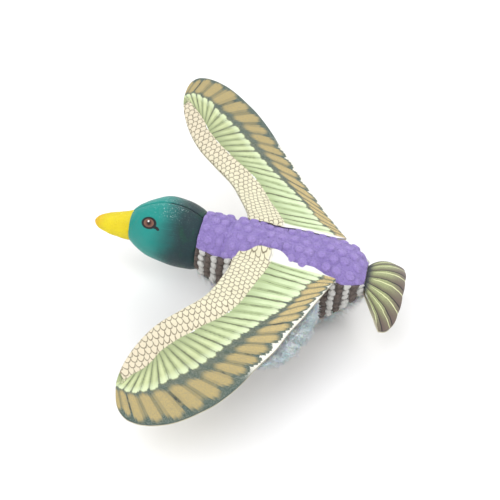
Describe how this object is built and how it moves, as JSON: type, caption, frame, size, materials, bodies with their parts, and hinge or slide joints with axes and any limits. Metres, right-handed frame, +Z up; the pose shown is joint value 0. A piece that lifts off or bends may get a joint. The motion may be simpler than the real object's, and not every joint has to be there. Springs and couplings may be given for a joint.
{
  "type": "flapping wing mallard decoy",
  "caption": "Stuffed mallard with a dotted back strip, padded printed wings on wire levers that flap, and a motor unit in a belly pocket.",
  "frame": {"origin": "on the resting plane, below the middle of the length and span", "axes": "+X towards the bill, +Y towards the left wing tip, +Z up"},
  "size_m": [0.336, 0.4976, 0.1114],
  "materials": {
    "purple_plush": "dimpled plush",
    "striped_plush": "tufted plush in rows",
    "white_plush": "long pile plush",
    "head_print": "printed satin weave",
    "bill_fabric": "brushed knit",
    "wing_print": "printed canvas",
    "wing_lining": "plain cotton",
    "tail_print": "printed canvas",
    "fibre_fill": "polyester fibre",
    "pocket_cloth": "plain weave",
    "hook_tape": "hook and loop tape",
    "case_plastic": "fine texture",
    "acetal": "moulded",
    "lever_plastic": "moulded",
    "steel": "ground",
    "motor_can": "plated",
    "brass_gear": "machined",
    "cell_wrap": "foil pouch",
    "board": "solder mask",
    "black_plastic": "moulded",
    "red_plastic": "clear tinted"
  },
  "bodies": {
    "torso": {"back_panel": "purple_plush", "left_flank_panel": "striped_plush", "right_flank_panel": "striped_plush", "belly_panel": "white_plush", "front_stuffing": "fibre_fill", "rear_stuffing": "fibre_fill", "head_left_panel": "head_print", "head_right_panel": "head_print", "head_stuffing": "fibre_fill", "bill_cover": "bill_fabric", "bill_stuffing": "fibre_fill", "tail_top_panel": "tail_print", "tail_bottom_panel": "wing_lining", "tail_stuffing": "fibre_fill", "motion_pocket": "pocket_cloth", "loop_strip": "hook_tape", "pocket_placket": "pocket_cloth", "case_top": "case_plastic", "case_bottom": "case_plastic", "case_screws": "steel", "gearbox_plate": "acetal", "motor": "motor_can", "idler_pin": "steel", "crank_axle": "steel", "guide_rods": "steel", "lever_pins": "steel", "battery": "cell_wrap", "battery_leads": "red_plastic", "circuit_board": "board", "charging_socket": "steel", "button_spring": "steel", "indicator_led": "red_plastic", "speaker": "black_plastic", "motion_sensor": "brass_gear"},
    "left_wing": {"left_wing_lever": "lever_plastic", "left_wing_wire": "steel", "left_wire_cap": "black_plastic", "left_wing_top": "wing_print", "left_wing_bottom": "wing_lining", "left_wing_wadding": "fibre_fill", "left_underwing_plush": "white_plush"},
    "right_wing": {"right_wing_lever": "lever_plastic", "right_wing_wire": "steel", "right_wire_cap": "black_plastic", "right_wing_top": "wing_print", "right_wing_bottom": "wing_lining", "right_wing_wadding": "fibre_fill", "right_underwing_plush": "white_plush"},
    "yoke": {"yoke_rack": "lever_plastic"},
    "crank": {"crank_gear": "acetal"},
    "idler": {"idler_gear": "acetal"},
    "rotor": {"motor_shaft": "steel", "motor_pinion": "brass_gear"},
    "button": {"power_button": "black_plastic"},
    "flap": {"pocket_flap": "white_plush", "hook_strip": "hook_tape"}
  },
  "joints": [
    {"name": "left_wing_flap", "type": "hinge", "parent": "torso", "child": "left_wing", "pos_m": [-0.028, 0.026, 0.07], "axis": [1, 0, 0], "range_deg": [-15, 30]},
    {"name": "right_wing_flap", "type": "hinge", "parent": "torso", "child": "right_wing", "pos_m": [-0.028, -0.026, 0.07], "axis": [-1, 0, 0], "range_deg": [-15, 30]},
    {"name": "yoke_slide", "type": "slide", "parent": "torso", "child": "yoke", "axis": [0, 0, 1], "range_m": [-0.00475, 0.0024]},
    {"name": "crank_spin", "type": "hinge", "parent": "torso", "child": "crank", "pos_m": [-0.035, 0, 0.058], "axis": [1, 0, 0], "continuous": true},
    {"name": "idler_spin", "type": "hinge", "parent": "torso", "child": "idler", "pos_m": [-0.035, 0, 0.0424], "axis": [1, 0, 0], "continuous": true},
    {"name": "motor_spin", "type": "hinge", "parent": "torso", "child": "rotor", "pos_m": [-0.035, 0, 0.0292], "axis": [1, 0, 0], "continuous": true},
    {"name": "power_button_press", "type": "slide", "parent": "torso", "child": "button", "axis": [0, 0, 1], "range_m": [0, 0.0012], "stiffness_N_per_m": 150, "deforming": ["button_spring"]},
    {"name": "pocket_flap_open", "type": "hinge", "parent": "torso", "child": "flap", "pos_m": [-0.0255, 0, 0.00075], "axis": [0, -1, 0], "range_deg": [0, 100]}
  ],
  "couplings": [
    {"joint": "right_wing_flap", "follows": "left_wing_flap", "ratio": 1},
    {"joint": "yoke_slide", "follows": "left_wing_flap", "m_per_rad": -0.009},
    {"joint": "idler_spin", "follows": "crank_spin", "ratio": -3.3333},
    {"joint": "motor_spin", "follows": "crank_spin", "ratio": 8.8889}
  ]
}
